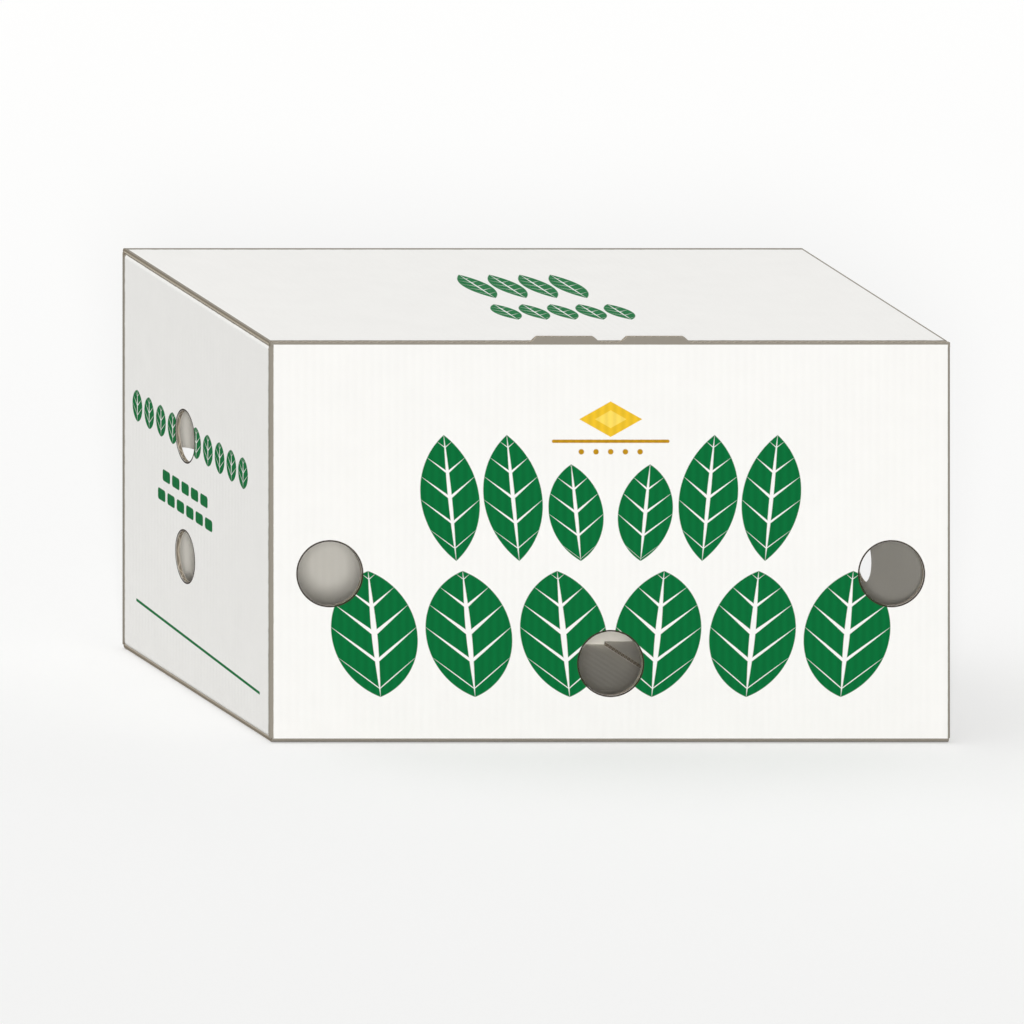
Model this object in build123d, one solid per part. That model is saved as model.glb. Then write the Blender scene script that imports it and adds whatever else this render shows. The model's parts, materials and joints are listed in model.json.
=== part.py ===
from build123d import *
import math
import os

# A low, wide shipping carton for fresh produce, die-cut from one sheet of white corrugated board.
# The sheet makes four upright walls, a glued bottom of four flaps, a dust flap on each end wall
# and, hinged on the rear wall, a lid whose front flap tucks in behind the front wall.
# Millimetres, +Z up. The origin is the middle of the footprint, on the floor.
# The front wall faces -Y and the long way of the carton runs along X.

# Carton, closed
WIDTH = 648.4        # outside, left to right
DEPTH = 381.0        # outside, front to back
HEIGHT = 381.0       # floor to the top of the lid
BOARD = 4.0          # thickness of the corrugated board, which is also the radius outside a fold

# Upright walls
RAW_SETBACK = 1.0    # from a wall's raw upright edge to the outer face of the wall beside it
LAP_WIDTH = 35.0     # glue lap, folded from the right end wall onto the rear wall's inside
LAP_TAPER = 12.0     # how much shorter the lap's free edge is than its fold, at top and bottom

# Vent holes
VENT_DIAMETER = 61.0        # front and rear walls
VENT_SPREAD = 267.4         # outer pair, from the middle of the wall
VENT_HEIGHT = 160.9         # outer pair, from the floor
LOW_VENT_HEIGHT = 75.4      # middle vent, from the floor
END_VENT_DIAMETER = 48.0    # end walls
END_VENT_REARWARD = 27.0    # from the middle of the end wall toward the rear
LOW_END_VENT_HEIGHT = 125.4
END_VENT_PITCH = 114.6      # from the lower end vent up to the upper one

# Stacking tabs on the front wall's rim
TAB_WIDTH = 66.0     # at the rim
TAB_HEIGHT = 5.5
TAB_SLOPE = 6.0      # how far each side of a tab leans in on its way up
TAB_ROUND = 2.5
TAB_SPREAD = 43.0    # middle of a tab, from the middle of the wall

# Bottom and dust flaps
SEAM = 1.0                 # between the two long flaps, where they meet under the carton
FLAP_RELIEF = 2.0          # cut away at each end of a flap's fold
END_FLAP_LENGTH = 188.0    # bottom flaps of the end walls, glued on top of the long flaps
DUST_FLAP_LENGTH = 112.0
DUST_FLAP_TAPER = 24.0     # how much each side leans in toward the flap's free edge
DUST_FLAP_ROUND = 18.0
DUST_FLAP_GAP = 3.0        # from a dust flap to the tuck flap before it and the board behind it

# Lid
LID_SETBACK = 1.5    # from the lid's raw side edges to the end walls' outer faces
LID_GAP = 0.3        # between the lid and what it lies on
TUCK_DEPTH = 60.0
TUCK_GAP = 0.4       # between the lid's front fold and the front wall
TUCK_SIDE_GAP = 3.0  # between the tuck flap and each end wall
TUCK_ROUND = 24.0

# Levels and reaches that follow from them
SHOULDER = HEIGHT - BOARD - LID_GAP    # top of the rear wall and of the dust flaps
HALF_WIDTH = WIDTH / 2 - BOARD         # middle to an end wall's inner face
HALF_DEPTH = DEPTH / 2 - BOARD         # middle to the front or the rear wall's inner face
LAP_FACE = HALF_DEPTH - BOARD          # middle to the glue lap's inner face
LID_REACH = DEPTH - BOARD - TUCK_GAP   # hinge line to the outside of the lid's front fold
LID_CREASE = LID_REACH - DEPTH / 2 - BOARD    # middle to the crease of the lid's front fold
FRONT, RIGHT, REAR, LEFT = 0, 90, 180, 270    # turn of each wall about Z
LONG_WALL_VENTS = ((-VENT_SPREAD, VENT_HEIGHT), (0, LOW_VENT_HEIGHT), (VENT_SPREAD, VENT_HEIGHT))


def facing(turn, reach, height=0):
    """A wall's frame at that turn: its inner face on y = 0 that far out, X along it, -Y out of it."""
    return Rot(0, 0, turn) * Pos(0, -reach, height)


def upright(left, right, low, high):
    """Rectangular outline of a wall, between two places along it and two levels."""
    return Pos((left + right) / 2, (low + high) / 2) * Rectangle(right - left, high - low)


def panel(outline, vents=(), diameter=0):
    """Flat board with its inner face on y = 0, from its outline along X and Z, with round vents."""
    for vent in vents:
        outline -= Pos(*vent) * Circle(diameter / 2)
    return extrude(Plane.XZ * outline, BOARD)


def fold(start, end, bend=90):
    """The board's bend between two places along a crease on the X axis.

    The inside is pinched to the crease, and the outside is an arc of the board's thickness that
    starts straight above the crease and bends toward -Y.
    """
    arc = CenterArc((0, 0), BOARD, 90, bend)
    section = make_face([Line((0, 0), arc @ 0), arc, Line(arc @ 1, (0, 0))])
    return Pos(start, 0, 0) * extrude(Plane.YZ * section, end - start)


def flap(crease, root, length, taper=0, corner=0):
    """A flap toward +Y, folded in by a right angle over the wall that stands below its crease.

    crease and root are the places along X where the fold and the flap's own root start and end.
    """
    left, right = root
    corners = [(left, 0), (right, 0), (right - taper, length), (left + taper, length)]
    outline = Polygon(*corners, align=None)
    if corner:
        outline = fillet(outline.vertices().group_by(Axis.Y)[-1], corner)
    return extrude(outline, BOARD) + fold(*crease)


def under(piece):
    """The same flap folded in at the foot of its wall instead of the top."""
    return mirror(piece, Plane.XY)


def upright_fold(turn, out, along):
    """Fold between a wall's far end and the next wall, from the bottom flaps to the shoulder."""
    return facing(turn, out) * Pos(along, 0, SHOULDER) * Rot(0, 90, 0) * fold(0, SHOULDER - BOARD)


def tab():
    """Outline of a stacking tab: its sides lean in, and its top corners are round."""
    foot = TAB_WIDTH / 2
    head = foot - TAB_SLOPE
    outline = Polygon((-foot, 0), (foot, 0), (head, TAB_HEIGHT), (-head, TAB_HEIGHT), align=None)
    return fillet(outline.vertices().group_by(Axis.Y)[-1], TAB_ROUND)


def front_wall():
    """Level with the lid's top, with two stacking tabs on its raw rim and three vents."""
    rim = WIDTH / 2 - RAW_SETBACK
    outline = upright(-HALF_WIDTH, HALF_WIDTH, BOARD, HEIGHT) + upright(-rim, rim, SHOULDER, HEIGHT)
    for side in (-1, 1):
        outline += Pos(side * TAB_SPREAD, HEIGHT) * tab()
    return facing(FRONT, HALF_DEPTH) * panel(outline, LONG_WALL_VENTS, VENT_DIAMETER)


def rear_wall():
    """Up to the lid's hinge line, with a raw upright edge that covers the glue lap's fold."""
    raw_edge = WIDTH / 2 - RAW_SETBACK
    outline = upright(-raw_edge, HALF_WIDTH, BOARD, SHOULDER)
    return facing(REAR, HALF_DEPTH) * panel(outline, LONG_WALL_VENTS, VENT_DIAMETER)


def glue_lap():
    """Lap from the right end wall, glued on the rear wall's inside and cut back round its vent."""
    corners = [
        (0, BOARD),
        (LAP_WIDTH, BOARD + LAP_TAPER),
        (LAP_WIDTH, SHOULDER - LAP_TAPER),
        (0, SHOULDER),
    ]
    vent = (HALF_WIDTH - VENT_SPREAD, VENT_HEIGHT)
    lap = panel(Polygon(*corners, align=None), [vent], VENT_DIAMETER)
    return facing(REAR, LAP_FACE) * Pos(-HALF_WIDTH, 0, 0) * lap


def end_sheet(turn, front, rear):
    """An end wall with its two vents, its dust flap and its bottom flap.

    front and rear are where the wall's folds begin, as signed places along its own X.
    """
    back = 1 if rear > front else -1
    start, end = sorted((front, rear))
    vents = [
        (back * END_VENT_REARWARD, LOW_END_VENT_HEIGHT),
        (back * END_VENT_REARWARD, LOW_END_VENT_HEIGHT + END_VENT_PITCH),
    ]
    outline = upright(start, end, 2 * BOARD, SHOULDER - BOARD)
    wall = panel(outline, vents, END_VENT_DIAMETER)

    crease = (start + FLAP_RELIEF, end - FLAP_RELIEF)
    dust_root = sorted((-back * (LID_CREASE - DUST_FLAP_GAP), rear - back * DUST_FLAP_GAP))
    dust_flap = flap(crease, dust_root, DUST_FLAP_LENGTH, DUST_FLAP_TAPER, DUST_FLAP_ROUND)
    bottom_flap = under(flap(crease, crease, END_FLAP_LENGTH))

    at = facing(turn, HALF_WIDTH)
    top = facing(turn, HALF_WIDTH, SHOULDER - BOARD)
    foot = facing(turn, HALF_WIDTH, 2 * BOARD)
    return at * wall + top * dust_flap + foot * bottom_flap


def long_bottom_flaps():
    """The front and the rear wall's bottom flaps, which meet at the seam."""
    edge = WIDTH / 2 - FLAP_RELIEF
    piece = under(flap((-edge, edge), (-edge, edge), HALF_DEPTH - SEAM / 2))
    return [facing(turn, HALF_DEPTH, BOARD) * piece for turn in (FRONT, REAR)]


def carton_body():
    """Everything but the lid, folded and glued to one solid."""
    pieces = [
        front_wall(),
        rear_wall(),
        glue_lap(),
        end_sheet(RIGHT, -HALF_DEPTH, LAP_FACE),
        end_sheet(LEFT, HALF_DEPTH, -HALF_DEPTH),
        *long_bottom_flaps(),
        upright_fold(FRONT, HALF_DEPTH, HALF_WIDTH),
        upright_fold(RIGHT, HALF_WIDTH, LAP_FACE),
        upright_fold(REAR, HALF_DEPTH, HALF_WIDTH),
        upright_fold(LEFT, HALF_WIDTH, HALF_DEPTH),
    ]
    return pieces[0].fuse(*pieces[1:]).clean()


def lid():
    """The lid lying shut: its panel, the hinge fold at the rear and the tuck flap at the front."""
    edge = WIDTH / 2 - LID_SETBACK
    outline = Pos(0, (HALF_DEPTH - LID_CREASE) / 2) * Rectangle(2 * edge, HALF_DEPTH + LID_CREASE)
    sheet = extrude(outline, BOARD)
    hinge_fold = facing(REAR, HALF_DEPTH) * fold(-edge, edge)

    # The flap's free edge swings on a longer arc than the fold above it, so the flap leans back
    # by as much as that edge would otherwise reach into the front wall.
    lean = math.degrees(math.atan(TUCK_DEPTH / (2 * LID_REACH)))
    side = HALF_WIDTH - TUCK_SIDE_GAP
    tuck = upright(-side, side, -TUCK_DEPTH, 0)
    tuck = fillet(tuck.vertices().group_by(Axis.Y)[0], TUCK_ROUND)
    front_fold = facing(FRONT, LID_CREASE) * fold(-edge, edge, 90 + lean)
    tuck_flap = facing(FRONT, LID_CREASE) * Rot(lean, 0, 0) * panel(tuck)

    shut = sheet.fuse(hinge_fold, front_fold, tuck_flap).clean()
    return Pos(0, 0, HEIGHT - BOARD) * shut


os.makedirs("parts", exist_ok=True)
export_step(carton_body(), "parts/carton_body.step")
export_step(lid(), "parts/lid.step")
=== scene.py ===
"""Looks for a white corrugated produce carton: its board, its print, the floor, light and camera.

Laid out as a Blender add-on and run as a script. Lengths inside the materials are millimetres in
the carton's own frame: X along the front wall, Y from front to rear, Z up from the floor.
"""

import json
import math

import bpy
from bpy.props import FloatProperty, FloatVectorProperty, PointerProperty
from mathutils import Matrix, Vector


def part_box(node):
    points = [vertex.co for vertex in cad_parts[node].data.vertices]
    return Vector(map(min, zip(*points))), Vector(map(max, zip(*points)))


bl_info = {
    "name": "Vented Produce Carton",
    "version": (1, 0, 0),
    "blender": (4, 5, 0),
    "location": "3D View > Sidebar > Carton",
    "description": "Board, print and studio for a folded corrugated carton",
    "category": "Object",
}

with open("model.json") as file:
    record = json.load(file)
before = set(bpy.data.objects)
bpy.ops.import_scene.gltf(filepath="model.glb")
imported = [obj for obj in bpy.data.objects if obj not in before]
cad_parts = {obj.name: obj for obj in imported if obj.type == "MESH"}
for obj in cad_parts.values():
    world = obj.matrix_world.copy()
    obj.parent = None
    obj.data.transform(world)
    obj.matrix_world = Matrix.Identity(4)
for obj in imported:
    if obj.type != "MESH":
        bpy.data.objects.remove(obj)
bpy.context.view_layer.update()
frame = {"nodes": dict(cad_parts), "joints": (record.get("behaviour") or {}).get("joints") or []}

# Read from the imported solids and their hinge, in millimetres
BODY_LOW, BODY_HIGH = (corner * 1000 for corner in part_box("carton_body"))
LID_LOW, LID_HIGH = (corner * 1000 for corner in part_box("lid"))
HINGE = Vector(frame["joints"][0]["pos_m"]) * 1000
WIDTH = BODY_HIGH.x - BODY_LOW.x
DEPTH = BODY_HIGH.y - BODY_LOW.y
HEIGHT = LID_HIGH.z
BOARD = HEIGHT - HINGE.z
LID_CREASE = -LID_LOW.y - BOARD          # middle to the crease of the lid's front fold

# The carton's inner sizes, which no box tells
LID_GAP = 0.3
SHOULDER = HINGE.z - LID_GAP             # top of the dust flaps and of the rear wall
TUCK_DEPTH = 60.0
TUCK_LEAN = math.atan(TUCK_DEPTH / (2 * (HINGE.y - LID_LOW.y)))
NO_FOLD = -99.0                          # a step so far short of a crease that there is no fold
HAIR = 0.01                              # within this much, two planes are the same
SKIN = 0.2                               # a place this near an outer face lies on it

# Vents, as distances from the middle of their wall and heights
LONG_WALL_VENTS = ((-267.4, 160.9), (0.0, 75.4), (267.4, 160.9))
LONG_WALL_VENT_RADIUS = 30.5
END_VENTS = ((27.0, 125.4), (27.0, 240.0))
END_VENT_RADIUS = 24.0

# Rows of leaves: level, places as (first, pitch, number), half size of a leaf, pitch of its veins.
# On the front wall places count outward from the middle, so that each row stands on both sides.
FRONT_LEAVES = (
    (233.0, (93.0, 60.0, 2), (28.0, 60.0), 24.0),
    (219.0, (33.0, 60.0, 1), (26.0, 46.0), 22.0),
    (103.5, (45.0, 90.0, 3), (41.0, 60.0), 26.0),
)
END_LEAVES = (240.0, (-121.0, 30.0, 10), (12.5, 15.0), 9.0)
LID_LEAVES = (
    (34.0, (-43.5, 29.0, 4), (13.0, 47.0), 15.0),
    (-68.0, (-54.0, 27.0, 5), (12.0, 31.0), 13.0),
)
LEAF_LEAN = 0.1                          # of the front's leaves, as a share of their height
VEIN_CLIMB = 0.8                         # how far a vein rises for each step away from the midrib
VEIN_TAPER = 0.06                        # half width of a vein, as a share of its way to the rim
MIDRIB_TAPER = 0.07

# Rows of blocks: level, places, half size of a block, radius of its corners
FRONT_DOTS = (277.0, (0.0, 14.0, 3), (2.6, 2.6), 2.5)
END_DASHES = (
    (190.0, (-21.0, 24.0, 5), (9.5, 5.5), 3.0),
    (170.0, (-33.0, 24.0, 6), (9.5, 5.5), 3.0),
)

# Single marks: centre, half size, radius of corners
DIAMOND = ((0, 308), (30, 17))
HEART = ((0, 308), (15, 8.5))
BAR = ((0, 287), (56, 1.6), 1.5)
END_RULE = ((-6, 48), (158, 1.4), 1.3)
END_RULE_SLOPE = 0.045

# Paper: the sizes and heights of its faint clouds and of its bundles of fibres, since single
# fibres are too fine to show
CLOUD, CLOUD_HEIGHT = 30.0, 0.25
FIBRE, FIBRE_HEIGHT = 1.5, 0.02
FIBRE_PART = 0.35                        # of the mottle, the rest being clouds
NOISE_RANGE = (0.3, 0.7)                 # between which most of a noise lies
COAT_ROUGHNESS, INK_ROUGHNESS, CUT_ROUGHNESS = 0.75, 0.65, 0.9
PAPER_GLOSS = 0.06                       # specular level: matt paper has next to none

# Limits, each with its softness. In the board they are shares of its thickness.
COAT = (0.065, 0.015)                    # from the outer face to the end of the coated skin
LINER = (0.39, 0.03)                     # from the middle of the board out to its liners
MEDIUM = (0.15, 0.07)                    # from the middle of the fluted medium to its faces
MEDIUM_SWING = 0.36                      # of the medium's middle to each side
INNER_FACE = 0.985                       # deeper than this is the inner face
WEAR = (0.1, 0.45)                       # a fold's nearness, with its spots, where rubbing starts
SPOT, SPOT_PART = 7.0, 0.7               # size of those spots, and how much they count
RUB_WIDTHS = (0.5, 3.0, 0.6)             # from a crease onto the flat board, along X, Y and Z
INK_SOFTNESS = 0.45
BRUISE_SOFTNESS = 0.3

# Picture, in its pixels, with the front wall square on and its depth drawn up to the left
FRAME_PIXELS = 1024.0
FRONT_PIXELS = 681.0
FRONT_LEFT_PIXEL = 270.2
FLOOR_LINE_PIXEL = 742.7
DEPTH_PIXELS = (149.0, 95.3)

# Studio
FLOOR_GAP = 0.0004                       # metres up to the carton, so that their faces don't meet
FLOOR_SEEN = (-1230.0, 2780.0)           # Y of the floor at the picture's foot and near its head
FLOOR_GRAIN, FLOOR_MOTTLE = 4.0, 0.015   # size of its paper's grain, and how much it shades
LAMPS = {                                # where each shines from, and its width in degrees
    "key": ((-0.148, -0.399, 0.087), 4),
    "top": ((-0.37, 0.1, 0.92), 70),
    "rear": ((0.75, 0.6, 0.25), 70),
}


def linear(code):
    """An sRGB hex colour as linear red, green and blue."""
    parts = [int(code[place:place + 2], 16) / 255 for place in (1, 3, 5)]
    return [p / 12.92 if p <= 0.04045 else ((p + 0.055) / 1.055) ** 2.4 for p in parts]


def opaque(colour):
    return (*colour, 1.0)


def add(tree, kind, feeds=(), **settings):
    """Adds a shader node with its settings and returns it.

    feeds gives its inputs in order, or by name or number in a dict. A node or socket is linked,
    None is passed over, and anything else becomes the input's value.
    """
    made = tree.nodes.new("ShaderNode" + kind)
    for name, value in settings.items():
        setattr(made, name, value)
    for key, value in feeds.items() if isinstance(feeds, dict) else enumerate(feeds):
        if isinstance(value, bpy.types.Node):
            value = next(socket for socket in value.outputs if socket.enabled)
        if isinstance(value, bpy.types.NodeSocket):
            tree.links.new(value, made.inputs[key])
        elif value is not None:
            made.inputs[key].default_value = value
    return made


def new_material(name):
    """An empty node material with its output, and its tree."""
    material = bpy.data.materials.new(name)
    material.use_nodes = True
    material.node_tree.nodes.clear()
    return material, material.node_tree


def layered(tree, ground, layers):
    """A ground colour with colours laid on it in order, each as far as its cover says, 0 to 1."""
    for cover, colour in layers:
        ground = add(tree, "Mix", {0: cover, 6: ground, 7: colour}, data_type="RGBA")
    return ground


def nearest(tree, distances):
    """The least of several signed distances: the union of their shapes."""
    least = distances[0]
    for distance in distances[1:]:
        least = add(tree, "Math", (least, distance), operation="MINIMUM")
    return least


def covered(tree, measure, limit=0.0, softness=INK_SOFTNESS, over=False):
    """1 where a measure is under its limit, or over it if so asked, and 0 elsewhere, soft between.

    A signed distance in millimetres is under 0 inside its shape.
    """
    before, after = (0.0, 1.0) if over else (1.0, 0.0)
    feeds = (measure, limit - softness, limit + softness, before, after)
    return add(tree, "MapRange", feeds, interpolation_type="SMOOTHSTEP")


def block(tree, place, centre, half, corner):
    """Signed distance to a rectangle with round corners: the length of what lies past its core."""
    away = add(tree, "VectorMath", (place, (*centre, 0)), operation="SUBTRACT")
    size = add(tree, "VectorMath", (away,), operation="ABSOLUTE")
    core = (half[0] - corner, half[1] - corner, 0)
    past = add(tree, "VectorMath", (size, core), operation="SUBTRACT")
    outside = add(tree, "VectorMath", (past, (0, 0, 0)), operation="MAXIMUM")
    reach = add(tree, "VectorMath", (outside,), operation="LENGTH")
    return add(tree, "Math", (reach, corner), operation="SUBTRACT")


def diamond(tree, place, centre, half):
    """Signed distance, nearly, to a diamond: its offsets as shares of its half sizes, less 1."""
    away = add(tree, "VectorMath", (place, (*centre, 0)), operation="SUBTRACT")
    size = add(tree, "VectorMath", (away,), operation="ABSOLUTE")
    shares = (1 / half[0], 1 / half[1], 0)
    sum_of_shares = add(tree, "VectorMath", (size, shares), operation="DOT_PRODUCT")
    past = add(tree, "Math", (sum_of_shares, 1.0), operation="SUBTRACT")
    return add(tree, "Math", (past, min(half)), operation="MULTIPLY")


def leaf(tree, across, up, half, vein_pitch):
    """Signed distance to a leaf: two arcs that meet in its tips, with its veins left blank.

    Each arc's radius r follows from the half width w and half height h, r = (w^2 + h^2) / 2w, and
    its centre lies r - w past the midrib. Veins run up and out from the midrib at an even pitch,
    and all of them thin out toward the leaf's rim.
    """
    half_width, half_height = half
    radius = (half_width**2 + half_height**2) / (2 * half_width)
    side = add(tree, "Math", (across,), operation="ABSOLUTE")
    from_centre = add(tree, "Math", (side, radius - half_width), operation="ADD")
    arm = add(tree, "CombineXYZ", (from_centre, up, 0.0))
    reach = add(tree, "VectorMath", (arm,), operation="LENGTH")
    blade = add(tree, "Math", (reach, radius), operation="SUBTRACT")
    climb = add(tree, "Math", (side, -VEIN_CLIMB, up), operation="MULTIPLY_ADD")
    to_vein = add(tree, "Math", (climb, vein_pitch / 2), operation="PINGPONG")
    vein = add(tree, "Math", (blade, VEIN_TAPER, to_vein), operation="MULTIPLY_ADD")
    midrib = add(tree, "Math", (blade, MIDRIB_TAPER, side), operation="MULTIPLY_ADD")
    blank = add(tree, "Math", (vein, midrib), operation="MINIMUM")
    kept = add(tree, "Math", (blank, -1.0), operation="MULTIPLY")
    return add(tree, "Math", (blade, kept), operation="MAXIMUM")


def evenly(tree, value, first, pitch, count):
    """Signed distance from the nearest of evenly spaced places, and how far past the end ones."""
    moved = add(tree, "Math", (value, first), operation="SUBTRACT")
    local = add(tree, "Math", (moved, -pitch / 2, pitch / 2), operation="WRAP")
    off = add(tree, "Math", (moved, (count - 1) * pitch / 2), operation="SUBTRACT")
    off = add(tree, "Math", (off,), operation="ABSOLUTE")
    return local, add(tree, "Math", (off, count * pitch / 2), operation="SUBTRACT")


def leaf_row(tree, across, up, level, places, half, vein_pitch, lean=0.0):
    """Signed distance to leaves that stand at one level and lean by a share of their height.

    places is the first leaf's middle, the pitch and the number of leaves.
    """
    height = add(tree, "Math", (up, level), operation="SUBTRACT")
    leant = add(tree, "Math", (height, -lean, across), operation="MULTIPLY_ADD")
    local, past = evenly(tree, leant, *places)
    blade = leaf(tree, local, height, half, vein_pitch)
    return add(tree, "Math", (blade, past), operation="MAXIMUM")


def block_row(tree, across, up, level, places, half, corner):
    """Signed distance to a row of like blocks with round corners."""
    local, past = evenly(tree, across, *places)
    cell = add(tree, "CombineXYZ", (local, up, 0.0))
    one = block(tree, cell, (0, level), half, corner)
    return add(tree, "Math", (one, past), operation="MAXIMUM")


def to_vents(tree, place, vents, radius):
    """Signed distance to the nearest of a wall's round vents."""
    rims = []
    for vent in vents:
        reach = add(tree, "VectorMath", (place, (*vent, 0)), operation="DISTANCE")
        rims.append(add(tree, "Math", (reach, radius), operation="SUBTRACT"))
    return nearest(tree, rims)


def die_line_and_rim_shade(tree, rim, width):
    """Dark ring round a vent, from its rim out to a width: die bruise and painted shade at the
    rim.
    """
    middle = add(tree, "Math", (rim, width / 2), operation="SUBTRACT")
    off = add(tree, "Math", (middle,), operation="ABSOLUTE")
    return covered(tree, off, width / 2, BRUISE_SOFTNESS)


def in_millimetres(tree):
    """The place on the carton in millimetres: as one vector, and as X, Y and Z."""
    coordinates = add(tree, "TexCoord").outputs["Object"]
    place = add(tree, "VectorMath", {0: coordinates, 3: 1000.0}, operation="SCALE")
    return place, *add(tree, "SeparateXYZ", (place,)).outputs


def below_surface(tree, past, sheltered):
    """Depth into the board and how near a fold is, from the steps past the creases.

    past holds how far a place lies beyond the inner crease line each way. The outside of the board
    is one board away from the creases, so the depth is the board less that vector's length. On a
    fold two of its parts are above 0 and on a flat face one is, so the middle one of the three,
    as a share of how wide folds rub that way, rises from below -1 to above 0 toward a fold.
    sheltered is how much less of a fold is open to rubbing, each way.
    """
    steps = add(tree, "VectorMath", (past, (0, 0, 0)), operation="MAXIMUM")
    reach = add(tree, "VectorMath", (steps,), operation="LENGTH")
    depth = add(tree, "Math", (BOARD, reach), operation="SUBTRACT")
    open_past = add(tree, "VectorMath", (past, sheltered), operation="SUBTRACT")
    shares = add(tree, "VectorMath", (open_past, RUB_WIDTHS), operation="DIVIDE")
    first, second, third = add(tree, "SeparateXYZ", (shares,)).outputs
    less = add(tree, "Math", (first, second), operation="MINIMUM")
    more = add(tree, "Math", (first, second), operation="MAXIMUM")
    upper = add(tree, "Math", (more, third), operation="MINIMUM")
    return depth, add(tree, "Math", (less, upper), operation="MAXIMUM")


def wider_behind(tree, y):
    """Shelter below 0 for the rear folds, by which a carton is dragged: it widens their wear."""
    board = bpy.context.scene.carton_board
    behind = add(tree, "Math", (y, 0.0), operation="GREATER_THAN")
    return add(tree, "Math", (behind, -board.rear_wear), operation="MULTIPLY")


def body_depth(tree, x, y, z):
    """Depth, nearness of a fold and flute direction on the walls, the dust flaps and the bottom.

    The long bottom flaps lie lowest, the end flaps on top of them, and the dust flaps end at the
    shoulder. Flutes run up the walls and on into their flaps, so their waves lie along X in the
    front and rear sheets and along Y in the end sheets.
    """
    board = bpy.context.scene.carton_board
    across = add(tree, "Math", (x,), operation="ABSOLUTE")
    deep = add(tree, "Math", (y,), operation="ABSOLUTE")
    past_x = add(tree, "Math", (across, WIDTH / 2 - BOARD), operation="SUBTRACT")
    past_y = add(tree, "Math", (deep, DEPTH / 2 - BOARD), operation="SUBTRACT")
    in_long_flap = add(tree, "Math", (z, BOARD + HAIR), operation="LESS_THAN")
    above = add(tree, "Math", (1.0, in_long_flap), operation="SUBTRACT")
    between_walls = add(tree, "Math", (past_y, -HAIR), operation="LESS_THAN")
    in_end_sheet = add(tree, "Math", (above, between_walls), operation="MULTIPLY")
    under_foot = add(tree, "Math", (2 * BOARD, z), operation="SUBTRACT")
    over_head = add(tree, "Math", (z, SHOULDER - BOARD), operation="SUBTRACT")
    past_ends = add(tree, "Math", (under_foot, over_head), operation="MAXIMUM")
    past_foot = add(tree, "Math", (BOARD, z), operation="SUBTRACT")
    past_ends = add(tree, "Mix", {0: in_end_sheet, 2: NO_FOLD, 3: past_ends}, data_type="FLOAT")
    past_z = add(tree, "Mix", {0: in_long_flap, 2: past_ends, 3: past_foot}, data_type="FLOAT")
    past_side = add(tree, "Mix", {0: in_long_flap, 2: past_x, 3: NO_FOLD}, data_type="FLOAT")
    past = add(tree, "CombineXYZ", (past_side, past_y, past_z))
    by_lid_and_floor = add(tree, "Math", (in_end_sheet, board.flap_shelter), operation="MULTIPLY")
    sheltered = (board.corner_shelter, wider_behind(tree, y), by_lid_and_floor)
    sheltered = add(tree, "CombineXYZ", sheltered)
    depth, fold = below_surface(tree, past, sheltered)
    along = add(tree, "Mix", {0: in_end_sheet, 2: x, 3: y}, data_type="FLOAT")
    return depth, fold, along


def lid_depth(tree, x, y, z):
    """Depth, nearness of a fold and flute direction on the lid's panel, folds and tuck flap.

    Below the panel the depth is measured across the tuck flap, turned back by its lean.
    """
    past_front = add(tree, "Math", (-LID_CREASE, y), operation="SUBTRACT")
    past_rear = add(tree, "Math", (y, DEPTH / 2 - BOARD), operation="SUBTRACT")
    past_y = add(tree, "Math", (past_front, past_rear), operation="MAXIMUM")
    past_z = add(tree, "Math", (z, HINGE.z), operation="SUBTRACT")
    past = add(tree, "CombineXYZ", (NO_FOLD, past_y, past_z))
    sheltered = add(tree, "CombineXYZ", (0.0, wider_behind(tree, y), 0.0))
    depth, fold = below_surface(tree, past, sheltered)
    crease = add(tree, "CombineXYZ", (0.0, past_front, past_z))
    inward = (0, -math.cos(TUCK_LEAN), math.sin(TUCK_LEAN))
    across_flap = add(tree, "VectorMath", (crease, inward), operation="DOT_PRODUCT")
    tuck_depth = add(tree, "Math", (across_flap, BOARD), operation="ADD")
    in_tuck = add(tree, "Math", (past_z, -HAIR), operation="LESS_THAN")
    depth = add(tree, "Mix", {0: in_tuck, 2: depth, 3: tuck_depth}, data_type="FLOAT")
    return depth, fold, x


def flutes(tree, board, along, wave):
    """The flutes' wave along the sheet, from -1 to 1, as its SINE or COSINE."""
    turns = add(tree, "Math", (along, 2 * math.pi / board.flute_pitch), operation="MULTIPLY")
    return add(tree, "Math", (turns,), operation=wave)


def raw_edge(tree, board, share, along):
    """Colour of cut board: two liners with the fluted medium between them.

    The medium is a sine wave along the sheet, at the flute pitch, from liner to liner. share is
    the depth as a share of the board.
    """
    wave = flutes(tree, board, along, "SINE")
    middle = add(tree, "Math", (wave, MEDIUM_SWING, 0.5), operation="MULTIPLY_ADD")
    off_medium = add(tree, "Math", (share, middle), operation="SUBTRACT")
    off_medium = add(tree, "Math", (off_medium,), operation="ABSOLUTE")
    medium = covered(tree, off_medium, *MEDIUM)
    off_middle = add(tree, "Math", (share, 0.5), operation="SUBTRACT")
    off_middle = add(tree, "Math", (off_middle,), operation="ABSOLUTE")
    liner = covered(tree, off_middle, *LINER, over=True)
    layers = [(medium, opaque(board.medium)), (liner, opaque(board.cut_liner))]
    return layered(tree, opaque(board.hollow), layers)


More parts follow.
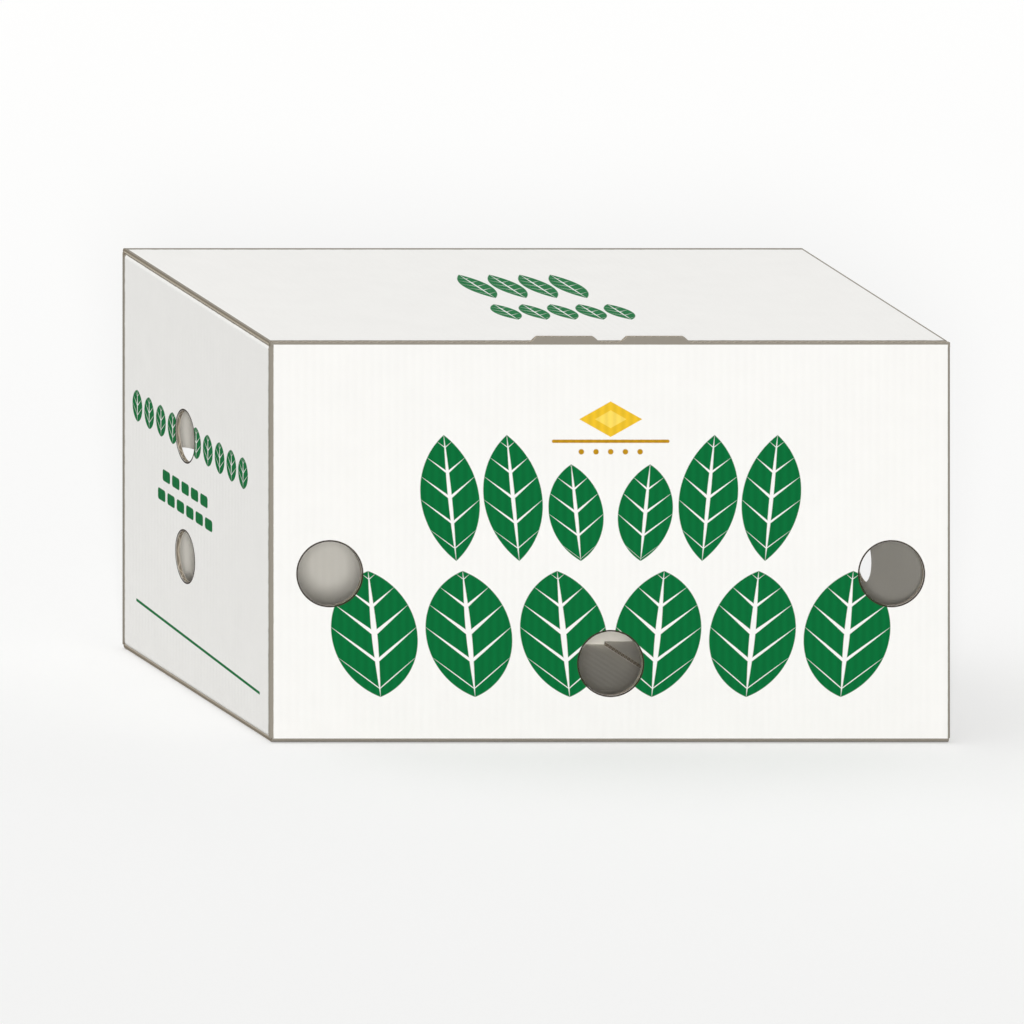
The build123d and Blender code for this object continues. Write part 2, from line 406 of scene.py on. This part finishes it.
def finish_board(tree, place, depth, fold, along, inks, rubbed, bruise_and_rim_shade):
    """Corrugated board with a white clay coat outside and a pale liner inside.

    Matt paper with faint clouds and fibres. Its flutes show as ribs and band the inks, folds and
    places where rubbed is 1 are rubbed brown, and cuts have raw edges. Paper keeps the shader's
    own IOR. inks is a list of (cover, colour), laid on in order.
    """
    board = bpy.context.scene.carton_board
    share = add(tree, "Math", (depth, BOARD), operation="DIVIDE")
    printed = 0.0
    for cover, colour in inks:
        printed = add(tree, "Math", (printed, cover), operation="MAXIMUM")

    spots = add(tree, "TexNoise", {"Vector": place, "Scale": 1 / SPOT, "Detail": 2.0}).outputs[0]
    reach = add(tree, "Math", (spots, SPOT_PART, fold), operation="MULTIPLY_ADD")
    worn = covered(tree, reach, *WEAR, over=True)
    worn = add(tree, "Math", (worn, rubbed), operation="MAXIMUM")
    worn = add(tree, "Math", (worn, board.fold_wear), operation="MULTIPLY")

    within = add(tree, "Math", (share, INNER_FACE), operation="GREATER_THAN")
    past_coat = covered(tree, share, *COAT, over=True)
    before_inner = add(tree, "Math", (1.0, within), operation="SUBTRACT")
    cut = add(tree, "Math", (past_coat, before_inner), operation="MULTIPLY")
    # The dark ring round vents is the die's bruise with painted shade at the cut rim
    wear = [(worn, opaque(board.worn)), (bruise_and_rim_shade, opaque(board.bruise_and_rim_shade))]
    bare = [(within, opaque(board.inner)), (cut, raw_edge(tree, board, share, along))]
    colour = layered(tree, opaque(board.coat), inks + wear + bare)

    ribs = flutes(tree, board, along, "COSINE")
    clouds = add(tree, "TexNoise", {"Vector": place, "Scale": 1 / CLOUD, "Detail": 2.0}).outputs[0]
    fibres = add(tree, "TexNoise", {"Vector": place, "Scale": 1 / FIBRE, "Detail": 1.0}).outputs[0]
    both = add(tree, "Mix", {0: FIBRE_PART, 2: clouds, 3: fibres}, data_type="FLOAT")
    shade = add(tree, "MapRange", (both, *NOISE_RANGE, 1 - board.mottle, 1 + board.mottle))
    inked_ribs = add(tree, "Math", (ribs, printed), operation="MULTIPLY")
    shade = add(tree, "Math", (inked_ribs, board.ink_banding, shade), operation="MULTIPLY_ADD")
    colour = add(tree, "VectorMath", {0: colour, 3: shade}, operation="SCALE")

    rough = {0: printed, 2: COAT_ROUGHNESS, 3: INK_ROUGHNESS}
    rough = {0: cut, 2: add(tree, "Mix", rough, data_type="FLOAT"), 3: CUT_ROUGHNESS}
    rough = add(tree, "Mix", rough, data_type="FLOAT")

    height = add(tree, "Math", (ribs, board.rib_height), operation="MULTIPLY")
    height = add(tree, "Math", (fibres, FIBRE_HEIGHT, height), operation="MULTIPLY_ADD")
    height = add(tree, "Math", (clouds, CLOUD_HEIGHT, height), operation="MULTIPLY_ADD")
    relief = add(tree, "Bump", {"Strength": 1.0, "Distance": 0.001, "Height": height})

    looks = {"Base Color": colour, "Roughness": rough, "Normal": relief}
    looks["Specular IOR Level"] = PAPER_GLOSS
    add(tree, "OutputMaterial", (add(tree, "BsdfPrincipled", looks),))


def front_print(tree, x, z):
    """Two bands of leaves that lean outward, with a diamond, a bar and dots at the top middle."""
    ink = bpy.context.scene.carton_print
    outward = add(tree, "Math", (x,), operation="ABSOLUTE")
    mirrored = add(tree, "CombineXYZ", (outward, z, 0.0))
    leaves = [leaf_row(tree, outward, z, *row, LEAF_LEAN) for row in FRONT_LEAVES]
    bar = block(tree, mirrored, *BAR)
    dots = block_row(tree, outward, z, *FRONT_DOTS)
    return [
        (covered(tree, nearest(tree, leaves)), opaque(ink.green)),
        (covered(tree, diamond(tree, mirrored, *DIAMOND)), opaque(ink.yellow)),
        (covered(tree, diamond(tree, mirrored, *HEART)), opaque(ink.pale_yellow)),
        (covered(tree, nearest(tree, [bar, dots])), opaque(ink.gold)),
    ]


def end_print(tree, y, z):
    """A row of small leaves across the upper vent, two rows of dashes and a sloping rule below."""
    ink = bpy.context.scene.carton_print
    leaves = leaf_row(tree, y, z, *END_LEAVES)
    dashes = [block_row(tree, y, z, *row) for row in END_DASHES]
    level = add(tree, "Math", (y, -END_RULE_SLOPE, z), operation="MULTIPLY_ADD")
    rule = block(tree, add(tree, "CombineXYZ", (y, level, 0.0)), *END_RULE)
    return [(covered(tree, nearest(tree, [leaves, *dashes, rule])), opaque(ink.green))]


def lid_print(tree, x, y):
    """Two short rows of leaves in the middle of the lid, upright to someone at the front."""
    ink = bpy.context.scene.carton_print
    rows = [leaf_row(tree, x, y, *row) for row in LID_LEAVES]
    return [(covered(tree, nearest(tree, rows)), opaque(ink.green))]


def only_where(tree, inks, here):
    """The same inks, kept to where here is 1."""
    kept = []
    for cover, colour in inks:
        kept.append((add(tree, "Math", (cover, here), operation="MULTIPLY"), colour))
    return kept


def body_material():
    """White top corrugated board, clay coated, flexo printed and die-cut.

    It looks matt and even, with its flutes showing faintly through. The crushed front rim and its
    tabs show the die's pressure, and a dark ring round each vent is its bruise with painted shade.
    """
    material, tree = new_material("white_top_corrugated_board")
    board = bpy.context.scene.carton_board
    place, x, y, z = in_millimetres(tree)
    depth, fold, along = body_depth(tree, x, y, z)

    front_place = add(tree, "CombineXYZ", (x, z, 0.0))
    end_place = add(tree, "CombineXYZ", (y, z, 0.0))
    long_rim = to_vents(tree, front_place, LONG_WALL_VENTS, LONG_WALL_VENT_RADIUS)
    end_rim = to_vents(tree, end_place, END_VENTS, END_VENT_RADIUS)
    across = add(tree, "Math", (x,), operation="ABSOLUTE")
    on_end = add(tree, "Math", (across, WIDTH / 2 - SKIN), operation="GREATER_THAN")
    rim = add(tree, "Mix", {0: on_end, 2: long_rim, 3: end_rim}, data_type="FLOAT")
    # Dark ring round each vent: the die's bruise with painted shade at the cut rim
    vent_rim_shade = die_line_and_rim_shade(tree, rim, board.die_line_and_rim_shade)

    on_front = add(tree, "Math", (y, BODY_LOW.y + SKIN), operation="LESS_THAN")
    on_left = add(tree, "Math", (x, BODY_LOW.x + SKIN), operation="LESS_THAN")
    inks = only_where(tree, front_print(tree, x, z), on_front)
    inks += only_where(tree, end_print(tree, y, z), on_left)
    crushed = covered(tree, z, HEIGHT - board.crush, BRUISE_SOFTNESS, over=True)
    rubbed = add(tree, "Math", (crushed, on_front), operation="MULTIPLY")
    finish_board(tree, place, depth, fold, along, inks, rubbed, vent_rim_shade)
    return material


def lid_material():
    """The same board, with its flutes running from the hinge to the tuck flap.

    Its side edges are crushed and browned by the die as well.
    """
    material, tree = new_material("white_top_corrugated_lid_board")
    board = bpy.context.scene.carton_board
    place, x, y, z = in_millimetres(tree)
    depth, fold, along = lid_depth(tree, x, y, z)
    on_top = add(tree, "Math", (z, HEIGHT - SKIN), operation="GREATER_THAN")
    inks = only_where(tree, lid_print(tree, x, y), on_top)
    across = add(tree, "Math", (x,), operation="ABSOLUTE")
    crushed = covered(tree, across, LID_HIGH.x - board.crush, BRUISE_SOFTNESS, over=True)
    finish_board(tree, place, depth, fold, along, inks, crushed, 0.0)
    return material


def dress(node, material):
    mesh = frame["nodes"][node].data
    mesh.materials.clear()
    mesh.materials.append(material)


def floor_material(studio):
    """Matt seamless paper, even and without shine, with the carton's soft shadow.

    The camera sees it lifted to near white, a little more toward the rear.
    """
    material, tree = new_material("seamless_paper_floor")
    place, _, y, _ = in_millimetres(tree)
    lift = add(tree, "MapRange", (y, *FLOOR_SEEN, studio.near_lift, studio.far_lift))
    grain = {"Vector": place, "Scale": 1 / FLOOR_GRAIN, "Detail": 2.0}
    grain = add(tree, "TexNoise", grain).outputs[0]
    tone = add(tree, "MapRange", (grain, 0.0, 1.0, 1 - FLOOR_MOTTLE, 1 + FLOOR_MOTTLE))
    colour = add(tree, "VectorMath", {0: studio.floor[:], 3: tone}, operation="SCALE")
    matt = add(tree, "BsdfDiffuse", {"Color": colour})
    ray = add(tree, "LightPath")
    seen = add(tree, "Math", (ray.outputs["Is Camera Ray"], ray.outputs["Is Glossy Ray"]))
    seen = add(tree, "Math", (seen, ray.outputs["Is Transmission Ray"]), use_clamp=True)
    strength = add(tree, "Math", (seen, lift), operation="MULTIPLY")
    glow = add(tree, "Emission", {"Color": (1, 1, 1, 1), "Strength": strength})
    both = add(tree, "AddShader", (matt, glow))
    add(tree, "OutputMaterial", (both,))
    return material


def make_floor(studio):
    """A flat square just under the carton, wide enough to fill every view."""
    half = studio.floor_size / 2
    corners = ((-half, -half), (half, -half), (half, half), (-half, half))
    mesh = bpy.data.meshes.new("floor")
    mesh.from_pydata([(*corner, -FLOOR_GAP) for corner in corners], [], [(0, 1, 2, 3)])
    mesh.materials.append(floor_material(studio))
    floor = bpy.data.objects.new("floor", mesh)
    bpy.context.scene.collection.objects.link(floor)


def make_world(studio):
    """Even white light from all round. The camera sees it as white as the floor beside it."""
    world = bpy.data.worlds.new("studio")
    bpy.context.scene.world = world
    world.use_nodes = True
    tree = world.node_tree
    tree.nodes.clear()
    ray = add(tree, "LightPath")
    seen = add(tree, "Math", (ray.outputs["Is Camera Ray"], ray.outputs["Is Glossy Ray"]))
    seen = add(tree, "Math", (seen, ray.outputs["Is Transmission Ray"]), use_clamp=True)
    strength = add(tree, "Mix", {0: seen, 2: studio.sky, 3: studio.backdrop}, data_type="FLOAT")
    sky = add(tree, "Background", ((1, 1, 1, 1), strength))
    add(tree, "OutputWorld", (sky,))


def make_lamp(name, toward, strength, softness):
    """A distant soft lamp that shines from the direction toward."""
    data = bpy.data.lights.new(name, "SUN")
    data.energy = strength
    data.angle = softness
    lamp = bpy.data.objects.new(name, data)
    lamp.rotation_mode = "QUATERNION"
    lamp.rotation_quaternion = Vector(toward).to_track_quat("Z", "Y")
    bpy.context.scene.collection.objects.link(lamp)


def make_camera(studio):
    """Oblique drawing camera: the front wall is seen square on, with its depth up to the left.

    Its parallel rays run toward the rear, the right and down, while its picture plane stays
    upright and level with the front wall. That shear of its axes comes from its parent's inverse.
    """
    pixel = WIDTH / 1000 / FRONT_PIXELS    # metres
    data = bpy.data.cameras.new("drawing_camera")
    data.type = "ORTHO"
    data.ortho_scale = FRAME_PIXELS * pixel
    camera = bpy.data.objects.new("drawing_camera", data)
    rig = bpy.data.objects.new("drawing_camera_rig", None)
    for thing in (camera, rig):
        bpy.context.scene.collection.objects.link(thing)
    deep = DEPTH / 1000 / pixel
    back = Vector((-DEPTH_PIXELS[0], -deep, DEPTH_PIXELS[1])).normalized()
    middle_x = (FRAME_PIXELS / 2 - FRONT_LEFT_PIXEL) * pixel - WIDTH / 2000
    middle_z = (FLOOR_LINE_PIXEL - FRAME_PIXELS / 2) * pixel
    place = Vector((middle_x, -DEPTH / 2000, middle_z)) + back * studio.camera_distance
    columns = (Vector((1, 0, 0)), Vector((0, 0, 1)), back, place)
    rows = [[column[row] for column in columns] for row in range(3)]
    camera.parent = rig
    camera.matrix_parent_inverse = Matrix((*rows, (0, 0, 0, 1)))
    bpy.context.scene.camera = camera


class CartonBoardSettings(bpy.types.PropertyGroup):
    """Sizes and colours of the corrugated board."""

    coat: FloatVectorProperty(
        name="Clay coat",
        description="White outer liner",
        subtype="COLOR",
        default=linear("#F4F3F0"),
    )
    inner: FloatVectorProperty(
        name="Inner liner",
        description="Pale inside",
        subtype="COLOR",
        default=linear("#F6F2E8"),
    )
    medium: FloatVectorProperty(
        name="Medium",
        description="Fluted paper in a cut",
        subtype="COLOR",
        default=linear("#BDB29F"),
    )
    hollow: FloatVectorProperty(
        name="Hollows",
        description="Shade between flutes",
        subtype="COLOR",
        default=linear("#8A8173"),
    )
    cut_liner: FloatVectorProperty(
        name="Cut liner",
        description="Liner seen edge on",
        subtype="COLOR",
        default=linear("#C0B8AB"),
    )
    worn: FloatVectorProperty(
        name="Worn fold",
        description="Paper under a rubbed coat",
        subtype="COLOR",
        default=linear("#8C8579"),
    )
    # Colour of the dark ring round each vent: die bruise and painted shade at the rim
    bruise_and_rim_shade: FloatVectorProperty(
        name="Die bruise",
        description="Line beside a die cut",
        subtype="COLOR",
        default=linear("#3A3129"),
    )
    fold_wear: FloatProperty(
        name="Fold wear",
        description="How far folds are rubbed through",
        subtype="FACTOR",
        default=0.95,
    )
    rear_wear: FloatProperty(
        name="Rear wear",
        description="How much wider the rear folds are rubbed, in mm",
        default=4.5,
    )
    corner_shelter: FloatProperty(
        name="Corner shelter",
        description="Part of an upright fold left unrubbed, in mm",
        default=0.9,
    )
    flap_shelter: FloatProperty(
        name="Flap shelter",
        description="Part left unrubbed beside lid and floor, in mm",
        default=3.2,
    )
    mottle: FloatProperty(
        name="Mottle",
        description="How much the paper's shade varies",
        subtype="FACTOR",
        default=0.012,
    )
    flute_pitch: FloatProperty(
        name="Flute pitch", description="From one flute to the next, in mm", default=7.9
    )
    rib_height: FloatProperty(
        name="Rib height", description="How far flutes show through, in mm", default=0.045
    )
    ink_banding: FloatProperty(
        name="Ink banding",
        description="How much flutes shade the inks",
        subtype="FACTOR",
        default=0.06,
    )
    # Width of the dark ring round each vent: die bruise and painted shade at the rim
    die_line_and_rim_shade: FloatProperty(
        name="Die line", description="Width of the line beside a vent, in mm", default=1.5
    )
    crush: FloatProperty(
        name="Crush",
        description="Width that the die crushes along raw rims, in mm",
        default=2.0,
    )


class CartonPrintSettings(bpy.types.PropertyGroup):
    """Flexo inks."""

    green: FloatVectorProperty(
        name="Green",
        description="Leaves and rules",
        subtype="COLOR",
        default=linear("#046B36"),
    )
    yellow: FloatVectorProperty(
        name="Yellow", description="Diamond", subtype="COLOR", default=linear("#EABE2D")
    )
    pale_yellow: FloatVectorProperty(
        name="Pale yellow",
        description="Heart of the diamond",
        subtype="COLOR",
        default=linear("#F7D75F"),
    )
    gold: FloatVectorProperty(
        name="Gold", description="Bar and dots", subtype="COLOR", default=linear("#B98A16")
    )


class CartonStudioSettings(bpy.types.PropertyGroup):
    """Floor, light and camera."""

    floor: FloatVectorProperty(
        name="Floor", description="Seamless paper", subtype="COLOR", default=linear("#D2D2D1")
    )
    floor_size: FloatProperty(
        name="Floor size", description="Side of the floor", unit="LENGTH", default=64.0
    )
    near_lift: FloatProperty(
        name="Near lift",
        description="Light added for the camera near the carton",
        default=0.29,
    )
    far_lift: FloatProperty(
        name="Far lift", description="Light added for the camera far behind it", default=0.385
    )
    backdrop: FloatProperty(
        name="Backdrop", description="How bright the camera sees the world", default=0.917
    )
    sky: FloatProperty(name="Sky", description="Even light from all round", default=0.44)
    key: FloatProperty(name="Key lamp", description="Strength of the front lamp", default=1.73)
    top: FloatProperty(name="Top lamp", description="Strength of the soft top lamp", default=1.16)
    rear: FloatProperty(
        name="Rear lamp", description="Strength of the soft rear lamp", default=0.63
    )
    camera_distance: FloatProperty(
        name="Camera distance", description="From the front wall", unit="LENGTH", default=3.0
    )


class CARTON_OT_body(bpy.types.Operator):
    """Finishes the folded body: walls, vents, tabs, flaps and bottom."""

    bl_idname = "carton.body"
    bl_label = "Carton body"

    def execute(self, context):
        dress("carton_body", body_material())
        return {"FINISHED"}


class CARTON_OT_lid(bpy.types.Operator):
    """Finishes the lid and its tuck flap."""

    bl_idname = "carton.lid"
    bl_label = "Lid"

    def execute(self, context):
        dress("lid", lid_material())
        return {"FINISHED"}


class CARTON_OT_stage(bpy.types.Operator):
    """Makes the floor, the light and the camera."""

    bl_idname = "carton.stage"
    bl_label = "Stage"

    def execute(self, context):
        studio = context.scene.carton_studio
        make_floor(studio)
        make_world(studio)
        for name, (toward, degrees) in LAMPS.items():
            make_lamp(name + "_lamp", toward, getattr(studio, name), math.radians(degrees))
        make_camera(studio)
        context.scene.view_settings.view_transform = "Standard"
        return {"FINISHED"}


class CARTON_PT_sidebar(bpy.types.Panel):
    """Lists the carton's pieces and settings."""

    bl_idname = "CARTON_PT_sidebar"
    bl_label = "Produce carton"
    bl_space_type = "VIEW_3D"
    bl_region_type = "UI"
    bl_category = "Carton"

    def draw(self, context):
        for operator in OPERATORS:
            self.layout.operator(operator.bl_idname)
        for name in SETTINGS:
            group = getattr(context.scene, name)
            box = self.layout.box()
            for prop in group.bl_rna.properties:
                if prop.identifier not in ("name", "rna_type"):
                    box.prop(group, prop.identifier)


OPERATORS = (CARTON_OT_body, CARTON_OT_lid, CARTON_OT_stage)
SETTINGS = {
    "carton_board": CartonBoardSettings,
    "carton_print": CartonPrintSettings,
    "carton_studio": CartonStudioSettings,
}


def register():
    for cls in (*SETTINGS.values(), *OPERATORS, CARTON_PT_sidebar):
        bpy.utils.register_class(cls)
    for name, group in SETTINGS.items():
        setattr(bpy.types.Scene, name, PointerProperty(type=group))


def unregister():
    for name in SETTINGS:
        delattr(bpy.types.Scene, name)
    for cls in (CARTON_PT_sidebar, *OPERATORS, *SETTINGS.values()):
        bpy.utils.unregister_class(cls)


def main():
    register()
    for operator in OPERATORS:
        group, name = operator.bl_idname.split(".")
        getattr(getattr(bpy.ops, group), name)()


if __name__ == "__main__":
    main()
